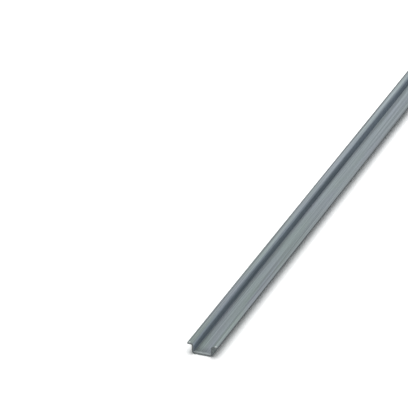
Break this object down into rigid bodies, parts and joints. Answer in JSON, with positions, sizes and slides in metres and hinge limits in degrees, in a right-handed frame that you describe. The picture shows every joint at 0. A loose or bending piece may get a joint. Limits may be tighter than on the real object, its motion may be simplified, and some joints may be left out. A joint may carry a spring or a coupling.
{
  "type": "top-hat mounting rail",
  "caption": "Unperforated top-hat mounting rail in zinc-plated sheet steel: a shallow square-cut channel with a flange turned out along each side for clip-on terminals and modules.",
  "frame": {"origin": "middle of the back's underside: half way along the rail, half way across it, on the plane it is screwed down to", "axes": "+X along the rail, +Y across it, +Z out of the channel's mouth, away from the surface the rail lies on"},
  "size_m": [1, 0.015, 0.0055],
  "materials": {
    "zinc_plated_steel": "zinc plated and passivated, satin grey"
  },
  "bodies": {
    "root": {"top_hat_rail": "zinc_plated_steel"}
  },
  "joints": []
}
